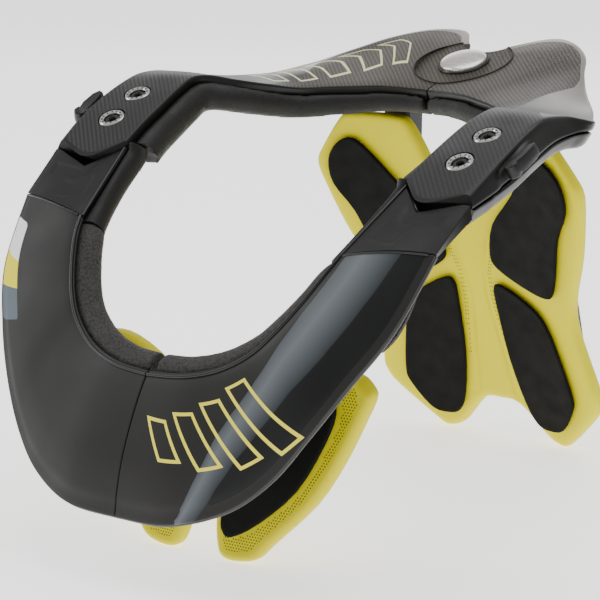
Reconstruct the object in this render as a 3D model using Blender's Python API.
"""Motocross neck brace: a hinged collar on chest pads and a two-lobed back pad.

The wearer faces -Y, the wearer's left is +X and Z is up. The brace stands on its four pad
tips, and its origin is the middle of its box on the floor. Sizes are in metres.
"""

import math
from collections import namedtuple

import bmesh
import bpy
from mathutils import Matrix, Vector

# Driving sizes of the collar
HALF_WIDTH = 0.1257  # from the middle to the shell's outer edge at the link
FRONT_REACH = 0.1425  # from the neck's middle to the front shells' lower edge
REAR_REACH = 0.1865  # from the neck's middle to the wing tips
COLLAR_HEIGHT = 0.205  # from the floor to the arms' rear screws
SHELL_WALL = 0.0055
SHELL_CROWN = 0.0045
LINK_WALL = 0.006
LINK_STEP = 0.003  # the link's face under the arm's face
LINK_SKIRT = 0.004  # how far the link's outer wall reaches below the arm's wall
LINK_SHOULDER = 0.88  # share of the way from the link's middle to its outer wall
ARM_WALL = 0.009  # the rear frame's cover at the arms
WING_WALL = 0.006  # the rear frame's cover behind the neck
LOWER_FRAME_WALL = 0.0085
LOWER_FRAME_SWELL = 0.2  # how much deeper the lower frame is under the arms
LOWER_FRAME_SETBACK = 0.45  # of the first row's length, behind the tip of the cover's V
LOWER_FRAME_DRAW_IN = 0.6  # share of its wall that its foot draws in under the cover
EDGE_ROUND = 0.0016
SEAM = 0.0005  # between pieces that meet
LINK_GAP = 0.0012  # between the link's end and the arm, which swings away from it

# Padding round the neck
FRONT_PAD_REACH = 0.0130
FRONT_PAD_END_REACH = 0.0115
FRONT_PAD_DEPTH = 0.0135
SIDE_PAD_REACH = 0.0080
SIDE_PAD_HOLLOW = 0.0025  # how far the side roll draws in between its ends
SIDE_PAD_DEPTH = 0.0125
ARM_PAD_REACH = 0.0105
ARM_PAD_DEPTH = 0.0190
REAR_PAD_REACH = 0.0045
REAR_PAD_DEPTH = 0.0115
REAR_PAD_DROP = 0.002  # under the frame's inner edge
REAR_PAD_SEAT = 0.0009  # between the rear pads and the frames they line
SHOULDER_FOAM_WALL = 0.0060
SHOULDER_FOAM_REACH = 0.0015  # past the shell's outer edge

# Rear hinge
HUB_RADIUS = 0.0263
HUB_NOTCH_RADIUS = 0.0165
HUB_NOTCH_SHIFT = 0.004  # from the disc's rim to the notch's centre
HUB_TILT = math.radians(18.9)
POST_RADIUS = 0.017
BUTTON_RADIUS = 0.0125
BUTTON_HEIGHT = 0.0035
BUTTON_FLAT = 0.35  # the share of the button's radius that is flat on top
BUTTON_RINGS = 3
RUNNING_GAP = 0.0004

# Adjusting screws and release levers
SCREW_RADIUS = 0.0069
SCREW_HEAD = 0.0042
BEZEL_RISE = 0.0008  # the ring round a screw, over the arm's face
BEZEL_WIDTH = 0.0016
BEZEL_SLOPE = 0.0006
SOCKET_RADIUS = 0.0034
SOCKET_DEPTH = 0.0022
LEVER_LENGTH = 0.0200
LEVER_REACH = 0.0068
LEVER_HEIGHT = 0.0068
LEVER_GAP = 0.0008
LEVER_BOSS_RADIUS = 0.0034

# Chest pads
CHEST_PAD_WIDTH = 0.090
CHEST_PAD_HEIGHT = 0.098
CHEST_PAD_WALL = 0.010
CHEST_PAD_SETBACK = 0.0835
CHEST_SLOPE = 0.20
CHEST_CURVE = 0.8  # the pads' curvature across the chest, per metre
BRACKET_FOOT = 0.030  # the lowest that a chest bracket can meet its pad
BRACKET_DROP = 0.42  # share of the shell's height above that foot
BRACKET_DRAW_IN = 0.62  # share of the shell's distance from the middle
INSET_WALL = 0.0028
INSET_SEAT = 0.0009  # between a raised inset and its pad
INSET_ROUND = 0.0012

# Back pad and its struts
BACK_PAD_HALF_WIDTH = 0.084
BACK_PAD_DROP = 0.0195  # from the collar's height to the back pad's top
BACK_PAD_WALL = 0.010
BACK_PAD_SETBACK = 0.1900
BACK_SLOPE = -0.345
BACK_CURVE = -1.84
STRUT_WIDTH = 0.017
STRUT_MIDDLE = 0.0445
STRUT_DEPTH = 0.016
STRUT_TAPER = 0.65  # share of the strut's depth that is lost from its top to its foot
YOKE_WALL = 0.007
YOKE_DEPTH = 0.024
PAD_ROUND = 0.0035

SIDES = (("left", 1), ("right", -1))
STEPS = 2  # sections between two rows of a table
LINK_SECTIONS = 4
FOAM_SECTIONS = 6
FOAM_START = 5.70  # the shell's rows where the shoulder foam starts and ends
FOAM_END = 6.45
HUB_SIDES = 48
SCREW_SIDES = 16

# Rows from the centre seam to the link: each edge's place in shares of
# HALF_WIDTH, FRONT_REACH and COLLAR_HEIGHT
ShellRow = namedtuple("ShellRow", "inner_x inner_y inner_z outer_x outer_y outer_z")
SHELL_ROWS = (
    ShellRow(0.002, -0.818, 0.480, 0.002, -1.000, 0.160),
    ShellRow(0.159, -0.811, 0.488, 0.244, -0.996, 0.167),
    ShellRow(0.302, -0.782, 0.511, 0.461, -0.937, 0.210),
    ShellRow(0.417, -0.740, 0.553, 0.613, -0.876, 0.285),
    ShellRow(0.493, -0.693, 0.605, 0.732, -0.814, 0.388),
    ShellRow(0.557, -0.627, 0.668, 0.843, -0.730, 0.502),
    ShellRow(0.601, -0.565, 0.724, 0.952, -0.610, 0.628),
    ShellRow(0.625, -0.513, 0.758, 1.000, -0.440, 0.783),
)
# Columns across the shell: share of the width, share of the crown
ColumnRow = namedtuple("ColumnRow", "across crown")
SHELL_COLUMNS = (
    ColumnRow(0.00, 0.00),
    ColumnRow(0.12, 0.50),
    ColumnRow(0.35, 0.92),
    ColumnRow(0.62, 1.00),
    ColumnRow(0.85, 0.55),
    ColumnRow(1.00, 0.00),
)

# Rows of the rear frame from the arm's tip to the seam behind the neck, in shares of
# HALF_WIDTH, REAR_REACH and COLLAR_HEIGHT: inner edge, middle line, crest and foot of the wall
FrameRow = namedtuple("FrameRow", "ix iy iz mx my mz kx ky kz wx wy wz wall")
FRAME_ROWS = (
    FrameRow(0.687, -0.167, 0.914, 0.814, -0.245, 0.868, 1.002, -0.193, 0.903, 1.022, -0.201, 0.868, 1.0),
    FrameRow(0.694, -0.091, 0.950, 0.819, -0.115, 0.946, 1.016, -0.118, 0.943, 1.038, -0.118, 0.892, 1.0),
    FrameRow(0.701, -0.012, 0.983, 0.827, -0.032, 0.984, 1.020, -0.032, 0.982, 1.046, -0.030, 0.920, 1.0),
    FrameRow(0.712, 0.070, 1.015, 0.835, 0.059, 1.018, 1.018, 0.055, 1.014, 1.044, 0.060, 0.950, 1.0),
    FrameRow(0.724, 0.150, 1.036, 0.843, 0.139, 1.041, 1.015, 0.134, 1.033, 1.046, 0.150, 0.978, 0.9),
    FrameRow(0.704, 0.214, 1.035, 0.855, 0.225, 1.036, 1.022, 0.220, 1.032, 1.060, 0.233, 0.990, 0.7),
    FrameRow(0.636, 0.271, 1.022, 0.840, 0.310, 1.021, 1.073, 0.303, 1.013, 1.062, 0.303, 0.988, 0.45),
    FrameRow(0.576, 0.359, 1.004, 0.740, 0.430, 1.012, 0.978, 0.407, 1.000, 0.955, 0.410, 0.973, 0.15),
    FrameRow(0.504, 0.439, 0.990, 0.650, 0.540, 1.020, 0.845, 0.554, 0.996, 0.820, 0.552, 0.966, 0.0),
    FrameRow(0.398, 0.493, 0.993, 0.590, 0.655, 1.033, 0.709, 0.667, 1.022, 0.690, 0.662, 0.990, 0.0),
    FrameRow(0.300, 0.528, 0.996, 0.510, 0.775, 1.053, 0.604, 0.768, 1.054, 0.585, 0.762, 1.022, 0.0),
    FrameRow(0.223, 0.550, 0.999, 0.420, 0.845, 1.075, 0.506, 0.880, 1.083, 0.490, 0.868, 1.052, 0.0),
    FrameRow(0.159, 0.563, 0.999, 0.330, 0.880, 1.086, 0.368, 0.962, 1.103, 0.360, 0.950, 1.070, 0.0),
    FrameRow(0.095, 0.574, 0.998, 0.200, 0.870, 1.082, 0.223, 1.000, 1.102, 0.220, 0.987, 1.070, 0.0),
    FrameRow(0.040, 0.580, 0.997, 0.080, 0.800, 1.060, 0.108, 0.905, 1.086, 0.108, 0.895, 1.052, 0.0),
    FrameRow(0.003, 0.582, 0.996, 0.003, 0.750, 1.045, 0.003, 0.840, 1.065, 0.003, 0.830, 1.032, 0.0),
)
HUB_Y = 0.765  # share of REAR_REACH
HUB_Z = 1.048  # share of COLLAR_HEIGHT

# Screws and levers: places along the frame's rows and across its face
ScrewRow = namedtuple("ScrewRow", "name along across")
SCREW_ROWS = (
    ScrewRow("front_screw", 1.12, 0.50),
    ScrewRow("rear_screw", 2.48, 0.50),
)
LEVER_ALONG = 1.62
STRUT_SHARES = (0.86, 0.6, 0.3)  # heights of the strut's sections behind the back pad
YOKE_SHARES = (-1, -0.55, -0.2, 0.2, 0.55, 1)
# The lever's fin, from its tip along its outer side and back under it: shares of its length and reach
LeverRow = namedtuple("LeverRow", "along drop")
LEVER_ROWS = (
    LeverRow(0.97, 0.41),
    LeverRow(0.60, 0.225),
    LeverRow(0.35, 1.00),
    LeverRow(0.80, 1.00),
    LeverRow(1.00, 0.78),
)

# Section of the padding: share of its reach, share of its depth
RollRow = namedtuple("RollRow", "reach depth")
ROLL_ROWS = (
    RollRow(0.00, 0.12),
    RollRow(0.45, 0.02),
    RollRow(0.82, 0.22),
    RollRow(0.98, 0.48),
    RollRow(0.97, 0.74),
    RollRow(0.78, 0.94),
    RollRow(0.40, 1.00),
    RollRow(0.00, 0.94),
)

# Outlines, counter-clockwise from the middle of the lower edge: shares of width and height
PointRow = namedtuple("PointRow", "across up")
CHEST_ROWS = (
    PointRow(0.185, 0.000),
    PointRow(0.285, 0.000),
    PointRow(0.380, 0.024),
    PointRow(0.455, 0.095),
    PointRow(0.690, 0.320),
    PointRow(0.828, 0.540),
    PointRow(0.925, 0.760),
    PointRow(0.965, 0.870),
    PointRow(0.950, 0.918),
    PointRow(0.855, 0.978),
    PointRow(0.660, 0.972),
    PointRow(0.390, 0.870),
    PointRow(0.200, 0.690),
    PointRow(0.110, 0.460),
    PointRow(0.095, 0.200),
    PointRow(0.130, 0.045),
)
CHEST_INSET_ROWS = (
    PointRow(0.245, 0.125),
    PointRow(0.410, 0.215),
    PointRow(0.620, 0.400),
    PointRow(0.755, 0.640),
    PointRow(0.800, 0.800),
    PointRow(0.740, 0.890),
    PointRow(0.520, 0.850),
    PointRow(0.300, 0.700),
    PointRow(0.190, 0.460),
    PointRow(0.165, 0.220),
    PointRow(0.185, 0.145),
)
BACK_ROWS = (
    PointRow(0.000, 0.122),
    PointRow(0.150, 0.112),
    PointRow(0.320, 0.030),
    PointRow(0.390, 0.006),
    PointRow(0.445, 0.000),
    PointRow(0.510, 0.010),
    PointRow(0.760, 0.115),
    PointRow(0.830, 0.165),
    PointRow(0.835, 0.215),
    PointRow(0.765, 0.350),
    PointRow(0.745, 0.440),
    PointRow(0.790, 0.520),
    PointRow(0.900, 0.640),
    PointRow(0.985, 0.780),
    PointRow(1.000, 0.840),
    PointRow(0.950, 0.885),
    PointRow(0.790, 0.980),
    PointRow(0.700, 1.000),
    PointRow(0.400, 1.000),
    PointRow(0.300, 0.975),
    PointRow(0.180, 0.830),
    PointRow(0.090, 0.745),
    PointRow(0.000, 0.715),
)
UPPER_INSET_ROWS = (
    PointRow(0.175, 0.605),
    PointRow(0.215, 0.560),
    PointRow(0.395, 0.515),
    PointRow(0.560, 0.492),
    PointRow(0.640, 0.505),
    PointRow(0.700, 0.570),
    PointRow(0.780, 0.690),
    PointRow(0.890, 0.775),
    PointRow(0.890, 0.850),
    PointRow(0.810, 0.905),
    PointRow(0.700, 0.925),
    PointRow(0.600, 0.890),
    PointRow(0.420, 0.790),
    PointRow(0.240, 0.700),
)
LOWER_INSET_ROWS = (
    PointRow(0.400, 0.050),
    PointRow(0.520, 0.062),
    PointRow(0.640, 0.140),
    PointRow(0.655, 0.185),
    PointRow(0.610, 0.290),
    PointRow(0.540, 0.400),
    PointRow(0.440, 0.455),
    PointRow(0.230, 0.508),
    PointRow(0.155, 0.500),
    PointRow(0.150, 0.430),
    PointRow(0.175, 0.270),
    PointRow(0.240, 0.130),
    PointRow(0.310, 0.065),
)

Colour = namedtuple("Colour", "red green blue roughness metallic")
COLOURS = {
    "shell_plastic": Colour(0.045, 0.044, 0.042, 0.50, 0.0),
    "link_rubber": Colour(0.035, 0.034, 0.033, 0.55, 0.0),
    "pad_foam": Colour(0.035, 0.033, 0.031, 0.85, 0.0),
    "pad_leatherette": Colour(0.030, 0.029, 0.027, 0.60, 0.0),
    "carbon_cover": Colour(0.075, 0.066, 0.056, 0.30, 0.0),
    "frame_plastic": Colour(0.030, 0.029, 0.028, 0.40, 0.0),
    "button_silver": Colour(0.800, 0.790, 0.770, 0.20, 0.3),
    "screw_steel": Colour(0.620, 0.620, 0.610, 0.30, 1.0),
    "eva_yellow": Colour(0.720, 0.640, 0.020, 0.70, 0.0),
    "eva_black": Colour(0.013, 0.013, 0.012, 0.80, 0.0),
    "shoulder_mesh": Colour(0.050, 0.048, 0.044, 0.90, 0.0),
}


def catmull(before, start, end, after, t):
    """A value on the Catmull-Rom curve between start and end."""
    linear = end - before
    square = 2 * before - 5 * start + 4 * end - after
    cube = 3 * (start - end) + after - before
    return start + 0.5 * t * (linear + t * (square + t * cube))


def row_at(rows, along):
    """The table's row at a place between rows, column by column."""
    last = len(rows) - 1
    index = min(int(along), last - 1)
    around = [rows[max(index - 1, 0)], rows[index], rows[index + 1], rows[min(index + 2, last)]]
    return [catmull(*column, along - index) for column in zip(*around)]


def smooth_rows(rows, steps=STEPS):
    count = (len(rows) - 1) * steps
    return [row_at(rows, i / steps) for i in range(count + 1)]


def closed_curve(points, steps):
    """Points on a smooth closed curve through the given ones."""
    count = len(points)
    result = []
    for i in range(count):
        around = [points[(i + offset) % count] for offset in (-1, 0, 1, 2)]
        for k in range(steps):
            result.append(tuple(catmull(*column, k / steps) for column in zip(*around)))
    return result


def grid_normals(grid):
    """Unit normals of a grid of points, rows along and columns across, on its upper side."""
    rows, columns = len(grid), len(grid[0])
    normals = []
    for i in range(rows):
        line = []
        for j in range(columns):
            along = grid[min(i + 1, rows - 1)][j] - grid[max(i - 1, 0)][j]
            across = grid[i][min(j + 1, columns - 1)] - grid[i][max(j - 1, 0)]
            line.append(across.cross(along).normalized())
        normals.append(line)
    return normals


def shell_face(places):
    """The front shell's upper face on the wearer's left, at places along its rows."""
    grid = []
    for along in places:
        row = ShellRow(*row_at(SHELL_ROWS, along))
        inner = Vector((row.inner_x * HALF_WIDTH, row.inner_y * FRONT_REACH, row.inner_z * COLLAR_HEIGHT))
        outer = Vector((row.outer_x * HALF_WIDTH, row.outer_y * FRONT_REACH, row.outer_z * COLLAR_HEIGHT))
        grid.append([inner.lerp(outer, column.across) for column in SHELL_COLUMNS])
    normals = grid_normals(grid)
    for line, line_normals in zip(grid, normals):
        for j, column in enumerate(SHELL_COLUMNS):
            line[j] = line[j] + line_normals[j] * column.crown * SHELL_CROWN
    return grid


def shell_grid():
    count = (len(SHELL_ROWS) - 1) * STEPS
    return shell_face([i / STEPS for i in range(count + 1)])


def frame_line(row):
    """The rear frame's inner edge, middle line, crest and wall foot at one row."""
    row = FrameRow(*row)
    places = (
        (row.ix, row.iy, row.iz),
        (row.mx, row.my, row.mz),
        (row.kx, row.ky, row.kz),
        (row.wx, row.wy, row.wz),
    )
    return [Vector((x * HALF_WIDTH, y * REAR_REACH, z * COLLAR_HEIGHT)) for x, y, z in places]


def frame_walls():
    """The cover's wall at each row of the rear frame."""
    return [WING_WALL + FrameRow(*row).wall * (ARM_WALL - WING_WALL) for row in smooth_rows(FRAME_ROWS)]


def frame_grid():
    return [frame_line(row) for row in smooth_rows(FRAME_ROWS)]


def hub_centre():
    return Vector((0, HUB_Y * REAR_REACH, HUB_Z * COLLAR_HEIGHT))


def hub_matrix():
    """The hinge's frame: Z along its axis, square to the rear frame's top."""
    return Matrix.Translation(hub_centre()) @ Matrix.Rotation(HUB_TILT, 4, "X")


def cap_faces(first, size):
    """Faces that close a ring, in strips between its two halves."""
    faces = []
    low, high = 0, size - 1
    while high - low > 2:
        faces.append([first + low, first + low + 1, first + high - 1, first + high])
        low, high = low + 1, high - 1
    if high - low == 2:
        faces.append([first + low, first + low + 1, first + high])
    return faces


def loft_faces(rings, size):
    """Faces of a skin through rings of equal size, open at its two ends."""
    faces = []
    for i in range(rings - 1):
        for k in range(size):
            after = (k + 1) % size
            faces.append([i * size + k, i * size + after, (i + 1) * size + after, (i + 1) * size + k])
    return faces


def material(name):
    colour = COLOURS[name]
    found = bpy.data.materials.get(name)
    if found:
        return found
    made = bpy.data.materials.new(name)
    made.use_nodes = True
    surface = made.node_tree.nodes["Principled BSDF"]
    surface.inputs["Base Color"].default_value = (colour.red, colour.green, colour.blue, 1)
    surface.inputs["Roughness"].default_value = colour.roughness
    surface.inputs["Metallic"].default_value = colour.metallic
    return made


def empty(name, matrix, parent=None):
    """A frame that pieces hang on. Its matrix is given in the brace's own frame."""
    holder = bpy.data.objects.new(name, None)
    bpy.context.scene.collection.objects.link(holder)
    holder.parent = parent
    holder.matrix_basis = place_of(parent).inverted() @ matrix if parent else matrix
    holder["place"] = [value for line in matrix for value in line]
    return holder


def place_of(holder):
    values = list(holder["place"])
    return Matrix([values[4 * k : 4 * k + 4] for k in range(4)])


def on_side(matrix, side):
    """A frame's mirror image on the right side, still right-handed."""
    if side == 1:
        return matrix
    mirror = Vector((-1, 1, 1))
    along, axis, centre = (matrix.col[k].to_3d() * mirror for k in (0, 2, 3))
    return Matrix.Translation(centre) @ Matrix((along, axis.cross(along), axis)).transposed().to_4x4()


def solid(name, points, faces, finish, holder, side=1, round_edges=0.0, angle=35):
    """An object from points in the brace's frame, mirrored to the right side where side is -1."""
    inverse = place_of(holder).inverted()
    mesh = bpy.data.meshes.new(name)
    placed = [inverse @ Vector((point.x * side, point.y, point.z)) for point in points]
    mesh.from_pydata(placed, [], faces)
    work = bmesh.new()
    work.from_mesh(mesh)
    bmesh.ops.recalc_face_normals(work, faces=work.faces)
    work.to_mesh(mesh)
    work.free()
    mesh.materials.append(material(finish))
    mesh.shade_smooth()
    mesh.set_sharp_from_angle(angle=math.radians(angle))
    made = bpy.data.objects.new(name, mesh)
    bpy.context.scene.collection.objects.link(made)
    made.parent = holder
    if round_edges:
        bevel = made.modifiers.new("Rounded edges", "BEVEL")
        bevel.width = round_edges
        bevel.segments = 1
        bevel.limit_method = "ANGLE"
        bevel.angle_limit = math.radians(50)
    return made


def loft(name, rings, finish, holder, side=1, round_edges=0.0):
    points = [point for ring in rings for point in ring]
    size = len(rings[0])
    faces = loft_faces(len(rings), size) + cap_faces(0, size) + cap_faces(len(points) - size, size)
    return solid(name, points, faces, finish, holder, side, round_edges)


def cut(target, cutter):
    """Takes a guide's shape out of a piece."""
    cutter.hide_render = True
    cutter.display_type = "WIRE"
    boolean = target.modifiers.new("Cut by " + cutter.name, "BOOLEAN")
    boolean.operation = "DIFFERENCE"
    boolean.object = cutter


def turned(name, profile, matrix, finish, holder, side=1, sides=32, round_edges=0.0):
    """A turned piece about a matrix's Z: profile of (radius, height), bottom to top."""
    rings = []
    for radius, height in profile:
        angles = [2 * math.pi * k / sides for k in range(sides)]
        rings.append([matrix @ Vector((radius * math.cos(a), radius * math.sin(a), height)) for a in angles])
    return loft(name, rings, finish, holder, side, round_edges)


def plate_rings(grid, walls):
    """Closed sections of a plate: the grid's face, and the same face a wall lower."""
    normals = grid_normals(grid)
    rings = []
    for line, line_normals, wall in zip(grid, normals, walls):
        under = [point - normal * wall for point, normal in zip(line, line_normals)]
        rings.append(line + under[::-1])
    return rings


def lowered(grid, depth):
    normals = grid_normals(grid)
    return [
        [point - normal * depth for point, normal in zip(line, line_normals)]
        for line, line_normals in zip(grid, normals)
    ]


def build_front_shell(name, holder, side):
    grid = shell_grid()
    loft(name, plate_rings(grid, [SHELL_WALL] * len(grid)), "shell_plastic", holder, side, EDGE_ROUND)


def link_rings():
    """Sections of the link, from the shell's end to the V of the arm's end, a step lower."""
    grid = shell_grid()
    before, last = plate_rings(grid, [SHELL_WALL] * len(grid))[-2:]
    onward = (last[0] - before[0]).normalized() * SEAM
    start = [point + onward for point in last]
    arm, behind = cover_rings()[:2]
    inner, middle, crest, foot, under_middle, under_inner = arm
    forward = (arm[0] + arm[2] - behind[0] - behind[2]).normalized() * LINK_GAP
    tops = [inner, inner.lerp(middle, 0.5), middle]
    tops += [middle.lerp(crest, 0.5), middle.lerp(crest, LINK_SHOULDER), crest]
    floors = [under_inner, under_inner.lerp(under_middle, 0.5), under_middle]
    skirt = foot + (foot - crest).normalized() * LINK_SKIRT
    floors += [under_middle.lerp(skirt, 0.5), under_middle.lerp(skirt, LINK_SHOULDER), skirt]
    step = LINK_STEP / ARM_WALL
    depth = (LINK_STEP + LINK_WALL) / ARM_WALL
    rim = (LINK_STEP + LINK_WALL * 0.45) / ARM_WALL
    upper = [top.lerp(floor, step) + forward for top, floor in zip(tops, floors)]
    upper[-1] = crest.lerp(foot, rim) + forward
    under = [top.lerp(floor, depth) + forward for top, floor in zip(tops, floors)]
    end = upper + under[::-1]
    return [[a.lerp(b, k / LINK_SECTIONS) for a, b in zip(start, end)] for k in range(LINK_SECTIONS + 1)]


def build_link(name, holder, side):
    loft(name, link_rings(), "link_rubber", holder, side, EDGE_ROUND)


def collar_frames():
    """Places along the neck's edge from the centre seam to the seam behind, each with its
    way into the opening and its way down, and where the link and the rear frame start."""
    grid = shell_grid()
    shell = plate_rings(grid, [SHELL_WALL] * len(grid))
    link = link_rings()[1:-1]
    edge = [(ring[0], ring[1], ring[-1]) for ring in shell + link + cover_rings()]
    last = len(edge) - 1
    frames = []
    for i, (point, beside, under) in enumerate(edge):
        along = (edge[min(i + 1, last)][0] - edge[max(i - 1, 0)][0]).normalized()
        down = under - point
        down = (down - along * down.dot(along)).normalized()
        inner_way = down.cross(along)
        if inner_way.dot(point - beside) < 0:
            inner_way.negate()
        frames.append((point, inner_way, down))
    return frames, len(shell) - 1, len(shell) + len(link)


def roll_rings(frames, reaches, depths, drop=0.0, seat=SEAM):
    """Sections of the padding beside the neck's edge."""
    rings = []
    for (point, inner_way, down), reach, depth in zip(frames, reaches, depths):
        start = point + inner_way * seat + down * drop
        ring = [start + inner_way * (row.reach * reach) + down * (row.depth * depth) for row in ROLL_ROWS]
        rings.append(ring)
    return rings


def trimmed(rings, start, end):
    """The rings without a seam's width at either end."""
    first = [a.lerp(b, start / (b - a).length) for a, b in zip(rings[0], rings[1])]
    last = [a.lerp(b, end / (b - a).length) for a, b in zip(rings[-1], rings[-2])]
    return [first] + rings[1:-1] + [last]


def blend(start, end, count):
    """Values from start to end, slow at both ends."""
    shares = [k / (count - 1) for k in range(count)]
    return [start + (end - start) * (3 * s * s - 2 * s**3) for s in shares]


def build_padding(label, holder, rear_holder, side):
    """Three padded rolls that meet end to end along the neck's edge."""
    frames, link_start, frame_start = collar_frames()
    front = frames[: link_start + 1]
    middle = frames[link_start : frame_start + 1]
    rear = frames[frame_start:]
    reaches = blend(FRONT_PAD_REACH, FRONT_PAD_END_REACH, len(front))
    rings = roll_rings(front, reaches, [FRONT_PAD_DEPTH] * len(front))
    loft(f"front_pad_{label}", trimmed(rings, SEAM * 2, SEAM), "pad_foam", holder, side)
    shares = [k / (len(middle) - 1) for k in range(len(middle))]
    reaches = blend(FRONT_PAD_END_REACH, SIDE_PAD_REACH, len(middle))
    reaches = [reach - SIDE_PAD_HOLLOW * 4 * s * (1 - s) for reach, s in zip(reaches, shares)]
    rings = roll_rings(middle, reaches, blend(FRONT_PAD_DEPTH, SIDE_PAD_DEPTH, len(middle)))
    loft(f"side_roll_{label}", trimmed(rings, SEAM, SEAM), "link_rubber", holder, side)
    reaches = blend(ARM_PAD_REACH, REAR_PAD_REACH, len(rear))
    depths = blend(ARM_PAD_DEPTH, REAR_PAD_DEPTH, len(rear))
    rings = roll_rings(rear, reaches, depths, REAR_PAD_DROP, REAR_PAD_SEAT)
    loft(f"rear_pad_{label}", trimmed(rings, LINK_GAP, SEAM), "pad_leatherette", rear_holder, side)


def cover_rings():
    """Sections of the rear frame's cover: its top face, outer wall and underside."""
    grid = frame_grid()
    tops = [line[:3] for line in grid]
    normals = grid_normals(tops)
    rings = []
    for line, line_normals, wall in zip(grid, normals, frame_walls()):
        inner, middle, crest, foot = line
        under_middle = middle - line_normals[1] * wall
        under_inner = inner - line_normals[0] * wall
        rings.append([inner, middle, crest, foot, under_middle, under_inner])
    return rings


def hub_hole(name, lower_radius, upper_radius, holder, side):
    """A guide that clears the hinge: the post below the disc's underside, the disc above it."""
    shoulder = -WING_WALL - SEAM
    profile = (
        (lower_radius, -LOWER_FRAME_WALL * 6),
        (lower_radius, shoulder),
        (upper_radius, shoulder),
        (upper_radius, LOWER_FRAME_WALL * 6),
    )
    return turned(name, profile, hub_matrix(), "frame_plastic", holder, side, HUB_SIDES)


def build_rear_cover(name, holder, side):
    cover = loft(name, cover_rings(), "carbon_cover", holder, side, EDGE_ROUND)
    radius = HUB_RADIUS + RUNNING_GAP
    cut(cover, hub_hole(name + "_hub_hole", radius, radius, holder, side))
    for row in SCREW_ROWS:
        matrix = screw_matrix(row)
        radius = SCREW_RADIUS + RUNNING_GAP
        profile = ((radius, -SCREW_HEAD), (radius, SCREW_HEAD))
        hole = turned(f"{name}_{row.name}_hole", profile, matrix, "frame_plastic", holder, side, SCREW_SIDES)
        cut(cover, hole)
    return cover


def lower_frame_rings():
    """Sections of the lower frame, a seam under the cover's underside. Its front end is
    straight, so that it stays behind the link, under the cover's V."""
    covers = cover_rings()
    arms = [FrameRow(*row).wall for row in smooth_rows(FRAME_ROWS)]
    rings = []
    for i, (inner, middle, crest, foot, under_middle, under_inner) in enumerate(covers):
        if i < STEPS:
            place = LOWER_FRAME_SETBACK * STEPS + (1 - LOWER_FRAME_SETBACK) * i
            before = int(place)
            under_middle = covers[before][4].lerp(covers[before + 1][4], place - before)
        down = (under_inner - inner).normalized()
        seam = down * SEAM * (2 if i < STEPS else 1)
        wall = down * LOWER_FRAME_WALL * (1 + LOWER_FRAME_SWELL * arms[i])
        inward = (middle - foot).normalized() * LOWER_FRAME_WALL * LOWER_FRAME_DRAW_IN
        top = [foot + seam, under_middle + seam, under_inner + seam]
        low = [under_inner + seam + wall, under_middle + seam + wall, foot + seam + wall + inward]
        rings.append(top + low)
    return rings


def build_lower_frame(name, holder, side):
    rings = trimmed(lower_frame_rings(), LINK_GAP, 0.0)
    lower = loft(name, rings, "frame_plastic", holder, side, EDGE_ROUND)
    hole = hub_hole(name + "_post_hole", POST_RADIUS + RUNNING_GAP, HUB_RADIUS + RUNNING_GAP, holder, side)
    cut(lower, hole)


def frame_place(along, across):
    """A point on the rear frame's top face and its normal there."""
    ahead = frame_line(row_at(FRAME_ROWS, along + 0.2))
    behind = frame_line(row_at(FRAME_ROWS, along - 0.2))
    here = frame_line(row_at(FRAME_ROWS, along))
    point = here[0].lerp(here[2], across)
    way = ahead[0].lerp(ahead[2], across) - behind[0].lerp(behind[2], across)
    normal = (here[2] - here[0]).cross(way).normalized()
    return point, normal


def screw_matrix(row):
    point, normal = frame_place(row.along, row.across)
    turn = normal.to_track_quat("Z", "Y").to_matrix().to_4x4()
    return Matrix.Translation(point) @ turn


def build_screw(name, row, holder, side):
    matrix = screw_matrix(row)
    floor = SEAM - SCREW_HEAD
    profile = (
        (SCREW_RADIUS, floor),
        (SCREW_RADIUS, BEZEL_RISE - BEZEL_SLOPE),
        (SCREW_RADIUS - BEZEL_SLOPE, BEZEL_RISE),
        (SCREW_RADIUS - BEZEL_SLOPE - BEZEL_WIDTH, BEZEL_RISE),
        (SCREW_RADIUS - BEZEL_SLOPE - BEZEL_WIDTH - SEAM, BEZEL_RISE - SEAM),
    )
    screw = turned(name, profile, matrix, "screw_steel", holder, side, SCREW_SIDES)
    socket = ((SOCKET_RADIUS, -SOCKET_DEPTH), (SOCKET_RADIUS, SOCKET_DEPTH))
    cut(screw, turned(name + "_socket", socket, matrix, "screw_steel", holder, side, 6))


def lever_matrix():
    """The release lever's pivot beside the arm's outer wall, its axis along the wall's slope."""
    crest, foot = frame_line(row_at(FRAME_ROWS, LEVER_ALONG))[2:]
    along = (frame_line(row_at(FRAME_ROWS, LEVER_ALONG + 1))[2] - crest).normalized()
    axis = crest - foot
    axis = (axis - along * axis.dot(along)).normalized()
    outward = along.cross(axis)
    centre = crest.lerp(foot, 0.5) + outward * (LEVER_BOSS_RADIUS + LEVER_GAP)
    turn = Matrix((along, -outward, axis)).transposed().to_4x4()
    return Matrix.Translation(centre) @ turn


def build_lever(name, holder, side):
    """A fin that lies along the arm's wall, with a boss at its pivot."""
    matrix = lever_matrix()
    half = LEVER_HEIGHT / 2
    boss = LEVER_BOSS_RADIUS
    fin = [(row.along * LEVER_LENGTH, boss - row.drop * LEVER_REACH) for row in LEVER_ROWS]
    turns = [math.radians(degrees) for degrees in range(40, 321, 40)]
    outline = fin[:2] + [(boss * math.cos(turn), boss * math.sin(turn)) for turn in turns] + fin[2:]
    rings = [[matrix @ Vector((x, y, z)) for x, y in outline] for z in (-half, half)]
    loft(name, rings, "frame_plastic", holder, side, EDGE_ROUND * 0.5)


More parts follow.
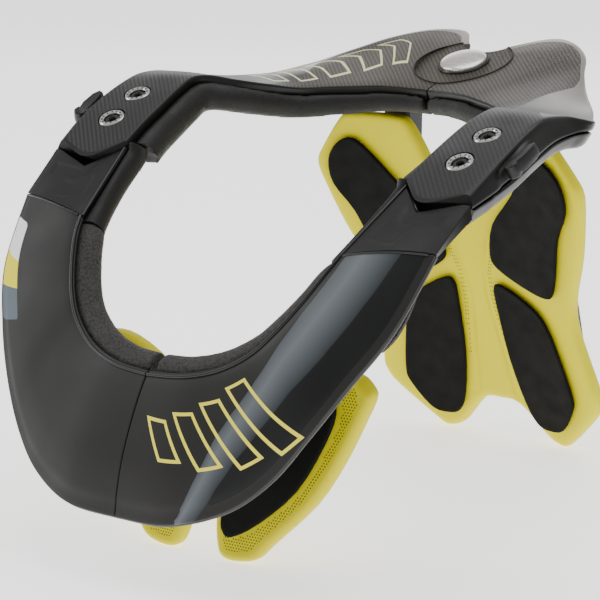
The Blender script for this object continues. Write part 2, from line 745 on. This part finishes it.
def build_hub(holder):
    """The hinge's disc, notched behind, with its post and button."""
    matrix = hub_matrix()
    disc = turned(
        "hub_disc", ((HUB_RADIUS, -WING_WALL), (HUB_RADIUS, 0)), matrix, "carbon_cover", holder, 1, HUB_SIDES
    )
    notch = Matrix.Translation(matrix @ Vector((0, HUB_RADIUS + HUB_NOTCH_SHIFT, 0)) - hub_centre()) @ matrix
    notch_profile = ((HUB_NOTCH_RADIUS, -WING_WALL * 3), (HUB_NOTCH_RADIUS, WING_WALL * 3))
    cut(disc, turned("hub_notch", notch_profile, notch, "frame_plastic", holder, 1, HUB_SIDES))
    base = -WING_WALL - SEAM
    post = ((POST_RADIUS, base - LOWER_FRAME_WALL - SEAM * 3), (POST_RADIUS, base))
    turned("hub_post", post, matrix, "frame_plastic", holder, 1, HUB_SIDES // 2)
    button = [(BUTTON_RADIUS, SEAM)]
    for k in range(BUTTON_RINGS + 1):
        angle = math.pi / 2 * k / BUTTON_RINGS
        radius = BUTTON_RADIUS * (BUTTON_FLAT + (1 - BUTTON_FLAT) * math.cos(angle))
        button.append((radius, BUTTON_HEIGHT * (BUTTON_FLAT + (1 - BUTTON_FLAT) * math.sin(angle))))
    turned("hub_button", button, matrix, "button_silver", holder, 1, HUB_SIDES // 2)


def back_face(x, z):
    """The back pad's front face, behind the wearer's back."""
    return BACK_PAD_SETBACK + BACK_SLOPE * z + BACK_CURVE * x * x


def chest_face(x, z):
    """The chest pads' front face."""
    return -CHEST_PAD_SETBACK + CHEST_SLOPE * z + CHEST_CURVE * x * x


def inset_outline(outline, distance):
    """The outline moved inwards by a distance, along the normals at its points."""
    count = len(outline)
    moved = []
    for k in range(count):
        ahead, behind = outline[(k + 1) % count], outline[k - 1]
        way = (ahead - behind).normalized()
        moved.append(outline[k] + Vector((-way.y, way.x)) * distance)
    return moved


def cushion(name, outline, face, wall, lift, round_size, finish, holder, side=1, shares=(0.25, 0.6)):
    """A padded plate: a rounded slab whose front follows a face, lifted towards -Y."""
    outline = [Vector(point) for point in outline]
    middle = sum(outline, Vector((0, 0))) / len(outline)
    layers = []
    for share in shares:
        layers.append(([middle.lerp(p, share) for p in inset_outline(outline, round_size)], 0.0))
    for degrees in (0, 45, 90):
        angle = math.radians(degrees)
        inward = round_size * (1 - math.sin(angle))
        layers.append((inset_outline(outline, inward), round_size * (1 - math.cos(angle))))
    back = [(ring, wall - depth) for ring, depth in reversed(layers)]
    rings = []
    for ring, depth in layers + back:
        rings.append([Vector((p.x, face(p.x, p.y) - lift + depth, p.y)) for p in ring])
    points = [point for ring in rings for point in ring]
    size = len(outline)
    faces = loft_faces(len(rings), size)
    front, rear = len(points), len(points) + 1
    points.append(Vector((middle.x, face(middle.x, middle.y) - lift, middle.y)))
    points.append(Vector((middle.x, face(middle.x, middle.y) - lift + wall, middle.y)))
    last = (len(rings) - 1) * size
    for k in range(size):
        after = (k + 1) % size
        faces.append([front, after, k])
        faces.append([rear, last + k, last + after])
    return solid(name, points, faces, finish, holder, side, 0.0, 50)


def outline_of(rows, width, height, steps):
    return closed_curve([(row.across * width, row.up * height) for row in rows], steps)


def build_chest_pad(label, holder, side):
    outline = outline_of(CHEST_ROWS, CHEST_PAD_WIDTH, CHEST_PAD_HEIGHT, 2)
    name = f"chest_pad_{label}"
    cushion(name, outline, chest_face, CHEST_PAD_WALL, 0, PAD_ROUND, "eva_yellow", holder, side, (0.5,))
    inset = outline_of(CHEST_INSET_ROWS, CHEST_PAD_WIDTH, CHEST_PAD_HEIGHT, 1)
    lift = INSET_WALL + INSET_SEAT
    name = f"chest_inset_{label}"
    cushion(name, inset, chest_face, INSET_WALL, lift, INSET_ROUND, "eva_black", holder, side, (0.5,))


def build_chest_bracket(name, holder, side):
    """The block that carries a chest pad behind the shell, from the shell to the pad's inset."""
    under = lowered(shell_grid(), SHELL_WALL + SEAM)
    first, last = 2 * STEPS + 1, 4 * STEPS
    shell_side = [[under[i][j] for j in (3, 2, 1)] for i in range(first, last + 1)]
    pad_side = []
    for line in shell_side:
        pad_line = []
        for point in line:
            x = point.x * BRACKET_DRAW_IN
            z = BRACKET_FOOT + point.z * BRACKET_DROP
            pad_line.append(Vector((x, chest_face(x, z) - INSET_WALL - INSET_SEAT - SEAM, z)))
        pad_side.append(pad_line)
    rings = [front + back[::-1] for front, back in zip(shell_side, pad_side)]
    loft(name, rings, "frame_plastic", holder, side, EDGE_ROUND * 0.5)


def build_shoulder_foam(name, holder, side):
    """Foam under the shell's outer edge, over the collar bone, thickest in its middle."""
    count = FOAM_SECTIONS
    places = [FOAM_START + (FOAM_END - FOAM_START) * k / count for k in range(count + 1)]
    grid = []
    walls = []
    for k, line in enumerate(lowered(shell_face(places), SHELL_WALL + SEAM)):
        swell = 0.35 + 0.65 * math.sin(math.pi * k / count)
        outward = (line[5] - line[4]).normalized() * SHOULDER_FOAM_REACH * swell
        grid.append(line[2:] + [line[5] + outward])
        walls.append(SHOULDER_FOAM_WALL * swell)
    loft(name, plate_rings(grid, walls), "shoulder_mesh", holder, side, EDGE_ROUND)


def build_back_pad(holder):
    height = COLLAR_HEIGHT - BACK_PAD_DROP
    half = [(row.across * BACK_PAD_HALF_WIDTH, row.up * height) for row in BACK_ROWS]
    mirrored = [(-x, z) for x, z in half[-2:0:-1]]
    outline = closed_curve(half + mirrored, 1)
    cushion("back_pad", outline, back_face, BACK_PAD_WALL, 0, PAD_ROUND, "eva_yellow", holder)
    for label, side in SIDES:
        for level, rows in (("upper", UPPER_INSET_ROWS), ("lower", LOWER_INSET_ROWS)):
            inset = outline_of(rows, BACK_PAD_HALF_WIDTH, height, 1)
            lift = INSET_WALL + INSET_SEAT
            name = f"back_inset_{level}_{label}"
            cushion(name, inset, back_face, INSET_WALL, lift, INSET_ROUND, "eva_black", holder, side, (0.5,))


def box_ring(centre_x, front_y, width, depth, z):
    half = width / 2
    return [
        Vector((centre_x - half, front_y, z)),
        Vector((centre_x + half, front_y, z)),
        Vector((centre_x + half, front_y + depth, z)),
        Vector((centre_x - half, front_y + depth, z)),
    ]


def yoke_rings():
    """The bar under the hub that carries both struts, square to the hinge's axis."""
    matrix = hub_matrix()
    top = -WING_WALL - LOWER_FRAME_WALL - SEAM * 5
    half = STRUT_MIDDLE + STRUT_WIDTH / 2
    reach = YOKE_DEPTH / 2
    rings = []
    for share in YOKE_SHARES:
        corners = ((-reach, top), (reach, top), (reach, top - YOKE_WALL), (-reach, top - YOKE_WALL))
        rings.append([matrix @ Vector((share * half, y, z)) for y, z in corners])
    return rings


def build_struts(holder):
    loft("strut_yoke", yoke_rings(), "frame_plastic", holder, 1, EDGE_ROUND)
    matrix = hub_matrix()
    under = -WING_WALL - LOWER_FRAME_WALL - SEAM * 6 - YOKE_WALL
    height = COLLAR_HEIGHT - BACK_PAD_DROP
    for label, side in SIDES:
        rings = []
        corners = box_ring(STRUT_MIDDLE, -STRUT_DEPTH * 0.5, STRUT_WIDTH, STRUT_DEPTH, under)
        rings.append([matrix @ corner for corner in corners])
        for share in STRUT_SHARES:
            z = height * share
            depth = STRUT_DEPTH * (1 - STRUT_TAPER * (1 - share))
            near = min(back_face(STRUT_MIDDLE - STRUT_WIDTH / 2, z), BACK_PAD_SETBACK)
            front = near + BACK_PAD_WALL + SEAM
            rings.append(box_ring(STRUT_MIDDLE, front, STRUT_WIDTH, depth, z))
        loft(f"back_strut_{label}", rings, "frame_plastic", holder, side, EDGE_ROUND)


def centre_on_floor(brace):
    """Puts the brace's origin at the middle of its box, on the floor."""
    bpy.context.view_layer.update()
    graph = bpy.context.evaluated_depsgraph_get()
    corners = []
    for piece in bpy.context.scene.objects:
        if piece.type != "MESH" or piece.hide_render:
            continue
        shape = piece.evaluated_get(graph)
        corners += [shape.matrix_world @ vertex.co for vertex in shape.data.vertices]
    low = min(corner.z for corner in corners)
    middle = (min(c.y for c in corners) + max(c.y for c in corners)) / 2
    brace.location = (0, -middle, -low)


def main():
    for old in list(bpy.data.objects):
        bpy.data.objects.remove(old)
    brace = empty("brace", Matrix.Identity(4))
    hinge = empty("rear_hinge", hub_matrix(), brace)
    rear_holders = {"left": hinge, "right": brace}
    for label, side in SIDES:
        holder = rear_holders[label]
        pivot = empty(f"lever_pivot_{label}", on_side(lever_matrix(), side), holder)
        build_front_shell(f"front_shell_{label}", brace, side)
        build_link(f"link_{label}", brace, side)
        build_shoulder_foam(f"shoulder_foam_{label}", brace, side)
        build_chest_pad(label, brace, side)
        build_chest_bracket(f"chest_bracket_{label}", brace, side)
        build_rear_cover(f"rear_frame_{label}", holder, side)
        build_lower_frame(f"lower_frame_{label}", holder, side)
        build_padding(label, brace, holder, side)
        for row in SCREW_ROWS:
            build_screw(f"{row.name}_{label}", row, holder, side)
        build_lever(f"lever_{label}", pivot, side)
    build_hub(brace)
    build_struts(brace)
    build_back_pad(brace)
    centre_on_floor(brace)


main()
